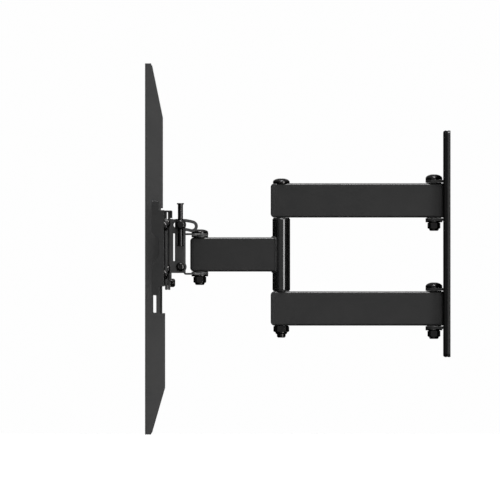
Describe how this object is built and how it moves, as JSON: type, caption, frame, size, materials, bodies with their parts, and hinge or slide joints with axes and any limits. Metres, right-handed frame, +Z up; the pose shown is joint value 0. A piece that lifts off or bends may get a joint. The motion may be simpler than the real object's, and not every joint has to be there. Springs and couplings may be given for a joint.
{
  "type": "full motion tv wall mount",
  "caption": "Wall plate with paired folding arms, a post elbow, a front arm and a swivelling, tilting head that carries a cross plate and upright TV rails.",
  "frame": {"origin": "centre of the wall plate's back face", "axes": "+Y goes into the wall, so -Y points out into the room towards the TV; +X runs along the wall; +Z is up"},
  "size_m": [0.43, 0.3552, 0.4304],
  "materials": {
    "powder_coat": "satin black powder coat",
    "rail_coat": "satin charcoal powder coat",
    "gloss_coat": "gloss black enamel",
    "black_plastic": "fine textured moulding",
    "black_zinc": "bright black zinc plate",
    "plain_steel": "turned",
    "nylon": "black nylon"
  },
  "bodies": {
    "wall_side": {"wall_plate": "powder_coat", "wall_plate_cover": "black_plastic", "upper_wall_clevis": "powder_coat", "lower_wall_clevis": "powder_coat", "wall_pivot_bolts": "black_zinc", "wall_pivot_washers": "black_zinc", "wall_pivot_nuts": "black_zinc"},
    "wall_arms": {"upper_wall_arm": "powder_coat", "lower_wall_arm": "powder_coat", "upper_arm_room_cap": "black_plastic", "lower_arm_room_cap": "black_plastic", "upper_arm_wall_cap": "black_plastic", "lower_arm_wall_cap": "black_plastic", "wall_pivot_bushes": "nylon", "wall_pivot_sleeves": "plain_steel", "elbow_sleeves": "plain_steel", "elbow_bolt": "black_zinc", "elbow_nut": "black_zinc"},
    "front_arm_unit": {"elbow_post": "gloss_coat", "elbow_bushes": "nylon", "front_arm": "powder_coat", "front_arm_cap": "black_plastic", "head_pivot_sleeve": "plain_steel", "head_pivot_bushes": "nylon"},
    "swivel_head": {"swivel_clevis": "powder_coat", "left_cheek": "powder_coat", "right_cheek": "powder_coat", "head_pivot_bolt": "black_zinc", "head_pivot_washer": "black_zinc", "head_pivot_nut": "black_zinc", "tilt_pivot_bolt": "black_zinc", "tilt_pivot_nut": "black_zinc", "tilt_washers": "nylon", "tilt_guide_bolt": "black_zinc", "lock_weld_nuts": "black_zinc"},
    "lock_screw": {"tilt_lock_screw": "black_zinc"},
    "sliding_bar": {"tommy_bar": "black_zinc", "tommy_bar_cap": "black_zinc"},
    "tv_plate": {"tilt_yoke": "powder_coat", "hanger_plate": "powder_coat", "cross_plate": "powder_coat", "left_rail": "rail_coat", "right_rail": "rail_coat", "left_rail_saddle": "powder_coat", "right_rail_saddle": "powder_coat", "left_rail_strip": "powder_coat", "right_rail_strip": "powder_coat", "left_strip_block": "powder_coat", "right_strip_block": "powder_coat", "hanger_bolts": "black_zinc", "hanger_washers": "black_zinc", "hanger_nuts": "black_zinc", "rail_bolts": "black_zinc", "rail_washers": "black_zinc", "rail_spacers": "nylon", "rail_nuts": "black_zinc", "strip_screws": "black_zinc"},
    "thumb_knob": {"thumb_screw": "black_zinc"}
  },
  "joints": [
    {"name": "wall_swivel", "type": "hinge", "parent": "wall_side", "child": "wall_arms", "pos_m": [0, -0.019, -0.0124], "axis": [0, 0, 1], "range_deg": [-90, 90]},
    {"name": "elbow_swivel", "type": "hinge", "parent": "wall_arms", "child": "front_arm_unit", "pos_m": [0, -0.197, -0.0124], "axis": [0, 0, -1], "range_deg": [-120, 120]},
    {"name": "head_swivel", "type": "hinge", "parent": "front_arm_unit", "child": "swivel_head", "pos_m": [0, -0.292, -0.0124], "axis": [0, 0, 1], "range_deg": [-90, 90]},
    {"name": "tilt", "type": "hinge", "parent": "swivel_head", "child": "tv_plate", "pos_m": [0, -0.3145, -0.027], "axis": [1, 0, 0], "range_deg": [-5, 15]},
    {"name": "lock_screw_turn", "type": "hinge", "parent": "swivel_head", "child": "lock_screw", "pos_m": [0.0382, -0.3145, 0.0223], "axis": [-1, 0, 0], "range_deg": [-22, 22]},
    {"name": "tommy_bar_slide", "type": "slide", "parent": "lock_screw", "child": "sliding_bar", "axis": [0, 0, 1], "range_m": [-0.0175, 0.0175]},
    {"name": "thumb_screw_turn", "type": "hinge", "parent": "tv_plate", "child": "thumb_knob", "pos_m": [0, -0.323, -0.0455], "axis": [0, 1, 0], "continuous": true}
  ]
}
